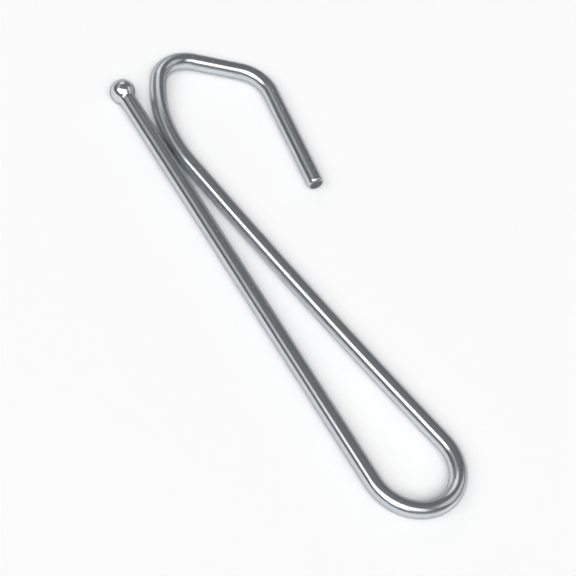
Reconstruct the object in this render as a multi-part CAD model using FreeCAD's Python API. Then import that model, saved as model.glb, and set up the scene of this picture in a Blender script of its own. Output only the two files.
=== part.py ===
import FreeCAD, Part
import math
import os

# Curtain hook of the slip-on kind, bent from one length of round steel wire and lying flat.
# Lengths are in millimetres and angles in degrees.

# Wire
wire_d = 2.0            # drawn wire, the same from end to end
bead_proud = 1.0        # how much wider than the wire the bead on the prong's tip is
bead_hollow_r = 0.5     # hollow where the bead runs into the wire
end_round = 0.4         # rounded edge of the hook's cut end

# Hairpin: the prong slips into a curtain's pleat, the shank springs against it
prong_length = 56.3     # straight prong, from the bead's centre to the start of the loop
loop_gap = 8.6          # clear width inside the loop at the bottom
kiss_up = 47.0          # from the loop up to where the shank comes nearest to the prong
kiss_gap = 0.25         # room left between the two wires there
shank_bow_r = 760.0     # slight bow of the shank, at the wire's centre

# Hook: a gentle neck, then two bends over the same mandrel
neck_r = 17.5           # bend of the neck, at the wire's centre
neck_lean = 33.5        # lean of the wire away from the prong at the top of the neck
mandrel_r = 3.25        # inside radius of the crown and of the corner
crown_turn = 88.0       # bend over the top
top_run = 5.85          # straight stretch across the top
corner_turn = 67.0      # bend down into the end leg
end_run = 14.3          # straight end leg that goes into a glider's eye

# Sizes that follow from those above
wire_r = wire_d / 2
bead_r = wire_r + bead_proud / 2
loop_r = loop_gap / 2 + wire_r
hook_r = mandrel_r + wire_r
Z_UP = FreeCAD.Vector(0, 0, 1)


def flat(x, y):
    """Point in the plane of the wire's centre line."""
    return FreeCAD.Vector(x, y, 0)


def ahead(lean):
    """Direction of the wire where it leans by this angle away from the prong, which points along -X."""
    turn = math.radians(lean)
    return flat(-math.cos(turn), math.sin(turn))


def inward(lean):
    """Direction from that wire to the centre of a bend towards the hook's side."""
    turn = math.radians(lean)
    return flat(math.sin(turn), math.cos(turn))


def lean_of(toward_centre):
    """Lean of the wire at the place where the bend's centre lies in this direction."""
    return math.degrees(math.atan2(toward_centre.x, toward_centre.y))


def bend(centre, radius, lean_from, lean_to):
    """Arc of the centre line about a centre on the hook's side, from one lean to the next."""
    leans = (lean_from, (lean_from + lean_to) / 2, lean_to)
    return Part.Arc(*[centre - inward(lean) * radius for lean in leans]).toShape()


def straight(start, end):
    return Part.LineSegment(start, end).toShape()


def far_corner(a, side_a, b, side_b):
    """Third corner of a triangle on the side a to b, given its other two sides, on the left of a to b."""
    base = b - a
    along = (base.Length ** 2 + side_a ** 2 - side_b ** 2) / (2 * base.Length)
    across = math.sqrt(side_a ** 2 - along ** 2)
    unit = base / base.Length
    return a + unit * along + Z_UP.cross(unit) * across


# Prong: it runs along X from the bead to the start of the loop, which is at (0, 0)
bead_centre = flat(-prong_length, 0)
loop_start = flat(0, 0)

# Bend centres: the neck passes the prong at the kiss, and the bowed shank is tangent to loop and neck
loop_centre = flat(0, loop_r)
neck_centre = flat(-kiss_up, wire_d + kiss_gap + neck_r)
shank_centre = far_corner(neck_centre, shank_bow_r - neck_r, loop_centre, shank_bow_r + loop_r)

# Loop: from the prong round to the shank, on the far side from the hook
shank_lean = lean_of(shank_centre - loop_centre)
loop_end = loop_centre + inward(shank_lean) * loop_r
loop_middle = loop_centre - ahead(shank_lean / 2) * loop_r
loop = Part.Arc(loop_start, loop_middle, loop_end).toShape()

# Shank and neck: one long shallow bow that tightens as it passes the prong
neck_foot_lean = lean_of(shank_centre - neck_centre)
shank = bend(shank_centre, shank_bow_r, shank_lean, neck_foot_lean)
neck = bend(neck_centre, neck_r, neck_foot_lean, neck_lean)
neck_top = neck_centre - inward(neck_lean) * neck_r

# Crown, top, corner and end leg
top_lean = neck_lean + crown_turn
crown_centre = neck_top + inward(neck_lean) * hook_r
crown = bend(crown_centre, hook_r, neck_lean, top_lean)
top_start = crown_centre - inward(top_lean) * hook_r
top_end = top_start + ahead(top_lean) * top_run
end_lean = top_lean + corner_turn
corner_centre = top_end + inward(top_lean) * hook_r
corner = bend(corner_centre, hook_r, top_lean, end_lean)
end_start = corner_centre - inward(end_lean) * hook_r
end_face = end_start + ahead(end_lean) * end_run

# Bead: a ball on the wire's tip that runs into the wire through a small hollow, turned about the prong
hollow_x = math.sqrt((bead_r + bead_hollow_r) ** 2 - (wire_r + bead_hollow_r) ** 2)
hollow_centre = bead_centre + flat(hollow_x, wire_r + bead_hollow_r)
hollow_unit = (hollow_centre - bead_centre).normalize()
bead_edge = bead_centre + hollow_unit * bead_r
wire_start = bead_centre + flat(hollow_x, 0)
hollow_foot = wire_start + flat(0, wire_r)
bead_tip = bead_centre - flat(bead_r, 0)
bead_side = bead_centre + (hollow_unit - flat(1, 0)).normalize() * bead_r
hollow_middle = hollow_centre - (hollow_unit + flat(0, 1)).normalize() * bead_hollow_r
bead_outline = Part.Wire([
    Part.Arc(bead_tip, bead_side, bead_edge).toShape(),
    Part.Arc(bead_edge, hollow_middle, hollow_foot).toShape(),
    straight(hollow_foot, wire_start),
    straight(wire_start, bead_tip),
])
bead = Part.Face(bead_outline).revolve(bead_centre, flat(1, 0), 360)

# Wire: a round section carried along the whole centre line, from the bead to the cut end
centre_line = Part.Wire([
    straight(wire_start, loop_start),
    loop,
    shank,
    neck,
    crown,
    straight(top_start, top_end),
    corner,
    straight(end_start, end_face),
])
section = Part.Wire(Part.makeCircle(wire_r, wire_start, flat(1, 0)))
wire = centre_line.makePipeShell([section], True, False)

# Cut end: its sharp edge is tumbled round
cut_edges = [edge for edge in wire.Edges if (edge.CenterOfMass - end_face).Length < wire_r / 2]
wire = wire.makeFillet(end_round, cut_edges)

# One solid, set down with the middle of its box over the origin and its lowest point on the floor
hook = wire.fuse(bead).removeSplitter().Solids[0]
box = hook.optimalBoundingBox(False, False)
hook.translate(-FreeCAD.Vector(box.Center.x, box.Center.y, box.ZMin))

os.makedirs("parts", exist_ok=True)
hook.exportStep("parts/wire_hook.step")
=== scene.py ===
import math

import bpy
import numpy as np
from mathutils import Euler, Matrix, Vector


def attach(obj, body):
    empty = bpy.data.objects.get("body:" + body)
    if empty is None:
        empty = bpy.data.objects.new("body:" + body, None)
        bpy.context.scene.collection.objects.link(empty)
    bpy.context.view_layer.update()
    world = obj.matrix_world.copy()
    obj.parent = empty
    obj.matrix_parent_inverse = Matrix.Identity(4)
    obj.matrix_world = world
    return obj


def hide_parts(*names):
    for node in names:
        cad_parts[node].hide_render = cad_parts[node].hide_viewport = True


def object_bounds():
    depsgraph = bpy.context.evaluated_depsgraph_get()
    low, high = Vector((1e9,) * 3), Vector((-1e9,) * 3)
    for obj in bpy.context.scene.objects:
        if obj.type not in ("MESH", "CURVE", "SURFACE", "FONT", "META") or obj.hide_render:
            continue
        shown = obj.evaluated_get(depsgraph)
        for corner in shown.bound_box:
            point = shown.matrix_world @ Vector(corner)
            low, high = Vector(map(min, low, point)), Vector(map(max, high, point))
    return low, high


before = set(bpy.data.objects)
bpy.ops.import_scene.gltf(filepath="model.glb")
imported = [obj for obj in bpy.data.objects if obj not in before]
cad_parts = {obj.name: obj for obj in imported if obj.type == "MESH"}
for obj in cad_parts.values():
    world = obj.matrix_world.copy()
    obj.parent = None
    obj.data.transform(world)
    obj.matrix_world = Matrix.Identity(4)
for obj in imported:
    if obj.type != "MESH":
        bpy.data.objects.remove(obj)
cad_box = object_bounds()

# Hook: one length of round steel wire, drawn through a die and bright zinc plated, with a bead upset on
# the tip of its prong. It is bent cold over pins, sheared off at the end leg and tumbled, so the cut face is
# bare steel. It lies flat, and only the bead touches the table, because it is wider than the wire.
MM = 0.001
wire_r = 1.0 * MM
bead_r = 1.5 * MM
bead_hollow_r = 0.5 * MM
end_round = 0.4 * MM
prong_length = 56.3 * MM
loop_r = 5.3 * MM
kiss_up = 47.0 * MM
kiss_gap = 0.25 * MM
shank_bow_r = 760.0 * MM
neck_r = 17.5 * MM
neck_lean = math.radians(33.5)
hook_r = 4.25 * MM
crown_turn = math.radians(88.0)
top_run = 5.85 * MM
corner_turn = math.radians(67.0)
end_run = 14.3 * MM
ring_step = 0.3 * MM
around_count = 64
ball_rings = 26
hollow_rings = 10
edge_rings = 12
face_rings = 6
soft_bend_rings = 7
bake_rows = 5
bake_margin = 0.01
margins_in_a_row = 4


def shank_leans():
    """Leans of the shank at its two ends, where a shallow bow touches the loop's circle and the neck's.

    The bow's centre is the third corner of a triangle on the line from the neck's centre to the loop's.
    It lies one bow radius less the neck's from the first, and one bow radius plus the loop's from the
    second.
    """
    neck = np.array([-kiss_up, 2 * wire_r + kiss_gap + neck_r])
    loop = np.array([0.0, loop_r])
    base = np.linalg.norm(loop - neck)
    unit = (loop - neck) / base
    near = shank_bow_r - neck_r
    far = shank_bow_r + loop_r
    along = (base ** 2 + near ** 2 - far ** 2) / (2 * base)
    across = math.sqrt(near ** 2 - along ** 2)
    bow = neck + unit * along + np.array([-unit[1], unit[0]]) * across
    return np.arctan2(*(bow - loop)), np.arctan2(*(bow - neck))


def wire_runs():
    """Length and turn of each run of the centre line, from the bead's centre to the cut end.

    A turn to the left is positive, and a bend's length is its radius times its turn.
    """
    lean_at_loop, lean_at_neck = shank_leans()
    turns = np.array([
        0.0,
        math.pi - lean_at_loop,
        lean_at_loop - lean_at_neck,
        lean_at_neck - neck_lean,
        -crown_turn,
        0.0,
        -corner_turn,
        0.0,
    ])
    radii = np.array([0.0, loop_r, shank_bow_r, neck_r, hook_r, 0.0, hook_r, 0.0])
    straights = np.array([prong_length, 0.0, 0.0, 0.0, 0.0, top_run, 0.0, end_run])
    return straights + radii * np.abs(turns), turns


def wire_profile(length):
    """Distance along the centre line and radius of each ring, from the bead's tip to the cut face.

    The bead is a quarter-round that runs past its widest place, then a hollow tangent to ball and wire;
    the wire keeps one radius, and the cut end is a rounded edge and a flat face drawn in to its middle.
    """
    hollow_at = math.sqrt((bead_r + bead_hollow_r) ** 2 - (wire_r + bead_hollow_r) ** 2)
    meet = math.atan2(wire_r + bead_hollow_r, hollow_at)
    ball = np.linspace(0.0, math.pi - meet, ball_rings)[1:]
    hollow = np.linspace(math.pi + meet, 1.5 * math.pi, hollow_rings)[1:]
    count = int((length - end_round - hollow_at) / ring_step)
    plain = np.linspace(hollow_at, length - end_round, count)[1:]
    edge = np.linspace(0.0, math.pi / 2, edge_rings)[1:]
    face = np.linspace(1.0, 0.0, face_rings)[1:-1]
    along = np.concatenate([
        -bead_r * np.cos(ball),
        hollow_at + bead_hollow_r * np.cos(hollow),
        plain,
        length - end_round + end_round * np.sin(edge),
        np.full(face.size, length),
    ])
    radius = np.concatenate([
        bead_r * np.sin(ball),
        wire_r + bead_hollow_r + bead_hollow_r * np.sin(hollow),
        np.full(plain.size, wire_r),
        wire_r - end_round + end_round * np.cos(edge),
        (wire_r - end_round) * face,
    ])
    return along, radius


def centre_line(along, lengths, turns):
    """Places and headings on a path of runs, each of one curvature, at these distances along it.

    The heading grows evenly over a run. A short chord points half-way between its two headings, and is
    shorter than its arc by the sine of half the turn over half the turn, so adding chords is exact.
    """
    ends = np.concatenate([[0.0], np.cumsum(lengths)])
    headings = np.concatenate([[0.0], np.cumsum(turns)])
    grid = np.unique(np.concatenate([ends, along]))
    turned = np.interp(grid, ends, headings)
    half = np.diff(turned) / 2
    chord = np.diff(grid) * np.sinc(half / math.pi)
    middle = turned[:-1] + half
    steps = np.stack([np.cos(middle), np.sin(middle)], 1) * chord[:, None]
    path = np.concatenate([np.zeros((1, 2)), np.cumsum(steps, 0)])
    path -= path[np.searchsorted(grid, 0.0)]
    spot = np.searchsorted(grid, along)
    return path[spot], turned[spot]


def bend_curvature(along, lengths, turns):
    """Turn per length at each ring, averaged over a few rings, because a bend over a pin starts softly."""
    run = np.searchsorted(np.cumsum(lengths)[:-1], along, side="right")
    window = np.full(soft_bend_rings, 1 / soft_bend_rings)
    return np.convolve((turns / lengths)[run], window, "same")


def unrolled(along, radius):
    """Flat places of the corners of every face: the tube is slit lengthways and laid out in rows.

    Across a row goes the length of the wire's outline, up the row goes the angle about the wire. A band
    between two rings stays in the row where it starts, so the last band of a row ends in the margin.
    """
    outline = np.concatenate([[0.0], np.cumsum(np.hypot(np.diff(along), np.diff(radius)))])
    row_length = outline[-1] / bake_rows
    row = np.minimum(outline[:-1] // row_length, bake_rows - 1)[:, None]
    width = 1 - margins_in_a_row * bake_margin
    start = bake_margin + width * (outline[:-1, None] / row_length - row)
    stop = bake_margin + width * (outline[1:, None] / row_length - row)
    turn = np.linspace(bake_margin * bake_rows, 1 - bake_margin * bake_rows, around_count + 1)[None, :]
    low = (row + turn[:, :-1]) / bake_rows
    high = (row + turn[:, 1:]) / bake_rows
    start, stop = np.broadcast_to(start, low.shape), np.broadcast_to(stop, low.shape)
    corners = [np.stack(pair, 2) for pair in ((start, low), (start, high), (stop, high), (stop, low))]
    quads = np.stack(corners, 2)
    tip = np.stack([quads[0, :, :2].mean(1), quads[0, :, 2], quads[0, :, 3]], 1)
    last = np.stack([quads[-1, :, 2:].mean(1), quads[-1, :, 0], quads[-1, :, 1]], 1)
    return np.concatenate([tip.reshape(-1, 2), quads[1:-1].reshape(-1, 2), last.reshape(-1, 2)])


def plan_middle(radius, places, headings):
    """Middle of the flat wire's own box: half-way between the outermost of its left and right sides."""
    reach = np.stack([-np.sin(headings), np.cos(headings)], 1) * radius[:, None]
    sides = np.concatenate([places + reach, places - reach])
    return (sides.min(0) + sides.max(0)) / 2


def swept_wire(name, along, radius, places, headings, curvature, height):
    """Closed tube: a ring of its own radius stands square to the path at each place.

    A ring's point is the place, plus the radius times the cosine of its angle towards the path's left,
    plus the radius times the sine upwards. The first and last rings are single points, which close the
    ends. The attribute 'straight' keeps where a point was before bending, and 'stretch' is how much the
    bend lengthened the wire there: less than nothing on the inside, where the pin pressed.
    """
    angle = np.arange(around_count) * (2 * math.pi / around_count)
    side = radius[:, None] * np.cos(angle)
    rise = radius[:, None] * np.sin(angle)
    left = np.stack([-np.sin(headings), np.cos(headings)], 1)
    flat = places[:, None, :] + left[:, None, :] * side[:, :, None]
    rings = np.concatenate([flat, height + rise[:, :, None]], 2)
    was = np.stack([np.broadcast_to(along[:, None], side.shape), side, rise], 2)
    longer = -side * curvature[:, None]

    def closed(grid):
        """Keeps one point of the first and the last ring, and every point of the rings between."""
        return np.concatenate([grid[0, :1], grid[1:-1].reshape(-1, *grid.shape[2:]), grid[-1, :1]])

    points = closed(rings)
    last = len(points) - 1
    here = np.arange(around_count)
    after = (here + 1) % around_count
    ring = 1 + around_count * np.arange(len(along) - 2)[:, None]
    tip_fan = np.stack([np.zeros_like(here), ring[0] + after, ring[0] + here], 1)
    end_fan = np.stack([np.full_like(here, last), ring[-1] + here, ring[-1] + after], 1)
    bands = [ring[:-1] + here, ring[:-1] + after, ring[1:] + after, ring[1:] + here]
    quads = np.stack(bands, 2).reshape(-1, 4)
    mesh = bpy.data.meshes.new(name)
    mesh.from_pydata(points.tolist(), [], tip_fan.tolist() + quads.tolist() + end_fan.tolist())
    mesh.shade_smooth()
    straight = mesh.attributes.new("straight", "FLOAT_VECTOR", "POINT")
    straight.data.foreach_set("vector", closed(was).ravel())
    stretch = mesh.attributes.new("stretch", "FLOAT", "POINT")
    stretch.data.foreach_set("value", closed(longer))
    bake = mesh.uv_layers.new(name="OFBake")
    bake.data.foreach_set("uv", unrolled(along, radius).ravel())
    return mesh


lengths, turns = wire_runs()
wire_length = lengths.sum()
along, radius = wire_profile(wire_length)
along = np.concatenate([[-bead_r], along, [wire_length]])
radius = np.concatenate([[0.0], radius, [0.0]])
places, headings = centre_line(along, lengths, turns)
curvature = bend_curvature(along, lengths, turns)
places += np.array(cad_box).mean(0)[:2] - plan_middle(radius, places, headings)
hook_mesh = swept_wire("wire_hook_plated", along, radius, places, headings, curvature, bead_r)
hook = bpy.data.objects.new("wire_hook_plated", hook_mesh)
bpy.context.collection.objects.link(hook)

zinc_pale = (0.690, 0.720, 0.745, 1)
zinc_blue = (0.615, 0.655, 0.695, 1)
zinc_worn = (0.360, 0.375, 0.390, 1)
zinc_edge = (0.33, 0.35, 0.38, 1)
# Sheared face: bare steel, set much darker than bare steel is, as painted shade at the cut end.
bare_steel_and_painted_shade = (0.135, 0.140, 0.146, 1)
bright_gloss = 0.12
cloudy_gloss = 0.18
line_gloss = 0.06
stretched_gloss = 0.06
worn_gloss = 0.40
line_wear = 0.30
nick_wear = 0.5
face_bare = 0.9
cloud_sizes = (3.2 * MM, 3.2 * MM, 3.2 * MM)
die_line_sizes = (22 * MM, 0.22 * MM, 0.22 * MM)
grain_sizes = (0.12 * MM, 0.12 * MM, 0.12 * MM)
nick_sizes = (0.42 * MM, 0.16 * MM, 0.16 * MM)
shear_line_sizes = (1 * MM, 0.09 * MM, 1.5 * MM)
finer_share = 0.55
soft_layers = 2.0
speck_layers = 1.0
cloud_span = (0.32, 0.68)
dark_line_span = (0.30, 0.50)
dull_line_span = (0.35, 0.65)
nick_span = (0.73, 0.79)
stretch_span = (0.04, 0.22)
die_line_depth = 0.0034 * MM
grain_depth = 0.0011 * MM
peel_depth = 0.0026 * MM
nick_depth = 0.0030 * MM
shear_line_depth = 0.006 * MM
face_depth = 0.12 * MM


def finish_node(tree, kind, sockets, **options):
    """Adds a node, sets its options, and gives each socket a value or the output of another node."""
    made = tree.nodes.new(kind)
    for option, value in options.items():
        setattr(made, option, value)
    for socket, value in sockets.items():
        if isinstance(value, bpy.types.NodeSocket):
            tree.links.new(value, made.inputs[socket])
        else:
            made.inputs[socket].default_value = value
    return made


def mottle(tree, where, sizes, layers):
    """Soft noise from 0 to 1 whose patches have these sizes along the three directions of 'where'.

    Each finer layer of detail is half the size of the one before, and finer_share as strong.
    """
    shares = {0: where, 1: [1 / size for size in sizes]}
    scaled = finish_node(tree, "ShaderNodeVectorMath", shares, operation="MULTIPLY").outputs[0]
    sockets = {"Vector": scaled, "Scale": 1.0, "Detail": layers, "Roughness": finer_share}
    return finish_node(tree, "ShaderNodeTexNoise", sockets).outputs["Fac"]


def ramp(tree, value, low, high, to_low, to_high):
    """Straight line from to_low, at a low value, to to_high, at a high one, and level beyond both."""
    sockets = {"Value": value, "From Min": low, "From Max": high, "To Min": to_low, "To Max": to_high}
    return finish_node(tree, "ShaderNodeMapRange", sockets).outputs["Result"]


def combine(tree, operation, a, b):
    """Sum, product or the like of two numbers."""
    return finish_node(tree, "ShaderNodeMath", {0: a, 1: b}, operation=operation).outputs[0]


def tone(tree, share, colour, other):
    """The first colour, giving way to the other by this share."""
    sockets = {0: share, 6: colour, 7: other}
    return finish_node(tree, "ShaderNodeMix", sockets, data_type="RGBA").outputs[2]


def bright_zinc():
    """Bright zinc over drawn wire, one metal whose tone, gloss and height change from place to place.

    The plate lies in soft clouds of pale and bluish grey. The die's lines run along the wire, a fine
    grain covers it, and the outside of each bend is stretched into a slight peel. Tumbling leaves sparse
    nicks. The sheared face is bare steel, duller, with lines in the direction of the cut, and its colour
    is set darker than bare steel is, which is painted shade at the cut end.
    """
    zinc = bpy.data.materials.new("bright_zinc")
    zinc.use_nodes = True
    tree = zinc.node_tree
    straight = finish_node(tree, "ShaderNodeAttribute", {}, attribute_name="straight").outputs["Vector"]
    stretch = finish_node(tree, "ShaderNodeAttribute", {}, attribute_name="stretch").outputs["Fac"]
    place = finish_node(tree, "ShaderNodeTexCoord", {}).outputs["Object"]
    down_wire = finish_node(tree, "ShaderNodeSeparateXYZ", {0: straight}).outputs["X"]

    clouds = ramp(tree, mottle(tree, place, cloud_sizes, soft_layers), *cloud_span, 0.0, 1.0)
    lines = mottle(tree, straight, die_line_sizes, soft_layers)
    grain = mottle(tree, place, grain_sizes, speck_layers)
    nicks = ramp(tree, mottle(tree, straight, nick_sizes, speck_layers), *nick_span, 0.0, 1.0)
    shear = mottle(tree, straight, shear_line_sizes, soft_layers)
    face = ramp(tree, down_wire, wire_length - face_depth, wire_length, 0.0, 1.0)
    outside = ramp(tree, stretch, *stretch_span, 0.0, 1.0)

    plate = tone(tree, clouds, zinc_pale, zinc_blue)
    nick_share = combine(tree, "MULTIPLY", nicks, nick_wear)
    face_share = combine(tree, "MULTIPLY", face, face_bare)
    line_share = ramp(tree, lines, *dark_line_span, line_wear, 0.0)
    worn_plate = tone(tree, combine(tree, "MAXIMUM", nick_share, line_share), plate, zinc_worn)
    # The sheared face takes a colour darker than bare steel, which is painted shade at the cut end.
    colour = tone(tree, face_share, worn_plate, bare_steel_and_painted_shade)
    dull = combine(tree, "MAXIMUM", nick_share, face_share)

    gloss = ramp(tree, clouds, 0.0, 1.0, bright_gloss, cloudy_gloss)
    gloss = combine(tree, "ADD", gloss, ramp(tree, lines, *dull_line_span, line_gloss, 0.0))
    gloss = combine(tree, "ADD", gloss, combine(tree, "MULTIPLY", outside, stretched_gloss))
    gloss = combine(tree, "ADD", gloss, combine(tree, "MULTIPLY", dull, worn_gloss))

    grain_rise = ramp(tree, outside, 0.0, 1.0, grain_depth, peel_depth)
    grain_height = combine(tree, "MULTIPLY", grain, grain_rise)
    shear_height = combine(tree, "MULTIPLY", combine(tree, "MULTIPLY", face, shear), shear_line_depth)
    height = combine(tree, "ADD", grain_height, combine(tree, "MULTIPLY", lines, die_line_depth))
    height = combine(tree, "SUBTRACT", height, combine(tree, "MULTIPLY", nicks, nick_depth))
    height = combine(tree, "ADD", height, shear_height)
    relief = finish_node(tree, "ShaderNodeBump", {"Height": height, "Strength": 1.0, "Distance": 1.0})

    shader = tree.nodes["Principled BSDF"]
    shader.inputs["Metallic"].default_value = 1.0
    shader.inputs["Specular Tint"].default_value = zinc_edge
    tree.links.new(colour, shader.inputs["Base Color"])
    tree.links.new(gloss, shader.inputs["Roughness"])
    tree.links.new(relief.outputs["Normal"], shader.inputs["Normal"])
    return zinc


hook_mesh.materials.append(bright_zinc())
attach(hook, "root")
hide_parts("wire_hook")

# Floor: a plain table top with matt white paint, one square that is so large that its edge stays out of
# every view. It only carries the hook and its soft shadow, and it isn't part of the object.
floor_half = 3.0
floor_white = (0.985, 0.985, 0.985, 1)
floor_mesh = bpy.data.meshes.new("floor")
corners = np.array([[-1, -1, 0], [1, -1, 0], [1, 1, 0], [-1, 1, 0]]) * floor_half
floor_mesh.from_pydata(corners.tolist(), [], [(0, 1, 2, 3)])
floor = bpy.data.objects.new("floor", floor_mesh)
bpy.context.collection.objects.link(floor)
paint = bpy.data.materials.new("white_table")
paint.use_nodes = True
coat = paint.node_tree.nodes["Principled BSDF"].inputs
coat["Base Color"].default_value = floor_white
coat["Roughness"].default_value = 1.0
coat["Specular IOR Level"].default_value = 0.0
floor_mesh.materials.append(paint)

# Light: six soft boxes stand round the table. The two strong ones are on the prong's side, and weak ones
# draw the thin highlights on the loop, bead, crown and back. Bright metal shows its room, so that is part of
# the light: the wall behind the strong boxes is dark, the wall across is pale, and the ceiling is grey.
lamp_distance = 6.0
near_wall = 0.02
far_wall = 1.0
wall_turns_dark = -0.10
wall_is_dark = -0.75
ceiling_grey = 0.20
wall_top = math.sin(math.radians(19.0))


def soft_box(name, azimuth, elevation, width, height, share):
    """Rectangular lamp that faces the hook from this direction and gives a floor this share of its white.

    The share is the lamp's radiance times its area, times the sine of its elevation, over pi and the
    distance squared. The lamp's power is pi times its radiance times its area.
    """
    e = math.radians(elevation)
    a = math.radians(azimuth)
    lamp = bpy.data.lights.new(name, "AREA")
    lamp.shape = "RECTANGLE"
    lamp.size = width
    lamp.size_y = height
    lamp.energy = share * (math.pi * lamp_distance) ** 2 / math.sin(e)
    box = bpy.data.objects.new(name, lamp)
    toward = Vector((math.cos(a) * math.cos(e), math.sin(a) * math.cos(e), math.sin(e)))
    box.location = toward * lamp_distance
    box.rotation_euler = toward.to_track_quat("Z", "Y").to_euler()
    bpy.context.collection.objects.link(box)


soft_box("key_box", azimuth=-76.0, elevation=43.0, width=5.85, height=3.0, share=0.28)
soft_box("front_box", azimuth=-47.0, elevation=52.0, width=3.9, height=3.3, share=0.355)
soft_box("loop_box", azimuth=-9.0, elevation=56.0, width=3.9, height=3.3, share=0.13)
soft_box("bead_box", azimuth=-139.0, elevation=43.5, width=6.75, height=2.4, share=0.03)
soft_box("crown_box", azimuth=165.0, elevation=38.0, width=3.0, height=3.0, share=0.04)
soft_box("back_box", azimuth=70.0, elevation=42.0, width=3.75, height=3.3, share=0.04)
world = bpy.data.worlds.new("pale_room")
bpy.context.scene.world = world
world.use_nodes = True
room = world.node_tree
toward = finish_node(room, "ShaderNodeTexCoord", {}).outputs["Generated"]
facing = finish_node(room, "ShaderNodeSeparateXYZ", {0: toward}).outputs
wall = ramp(room, facing["Y"], wall_is_dark, wall_turns_dark, near_wall, far_wall)
glow = ramp(room, facing["Z"], 0.0, wall_top, wall, ceiling_grey)
room.links.new(glow, room.nodes["Background"].inputs["Strength"])
room.nodes["Background"].inputs["Color"].default_value = (1, 1, 1, 1)

# Camera: a long lens that looks down on the hook from the side of its prong and loop. It is rolled on
# its own axis, so that the hook lies slanted in the frame, with the crown top left and the loop below.
view_azimuth = math.radians(36.35)
view_elevation = math.radians(50.54)
view_roll = math.radians(27.26)
view_distance = 0.1982
view_lens = 110.25
clip_near = 0.01
clip_far = 20.0
view_aim = Vector((0.00172, -0.00429, 0.0015))
camera = bpy.data.objects.new("camera", bpy.data.cameras.new("camera"))
camera.data.lens = view_lens
camera.data.clip_start = clip_near
camera.data.clip_end = clip_far
tilt = Euler((math.pi / 2 - view_elevation, 0, view_azimuth)).to_matrix()
turn = tilt @ Matrix.Rotation(view_roll, 3, "Z")
camera.matrix_world = Matrix.Translation(view_aim + turn.col[2] * view_distance) @ turn.to_4x4()
bpy.context.collection.objects.link(camera)
bpy.context.scene.camera = camera

bpy.context.scene.view_settings.view_transform = "Standard"
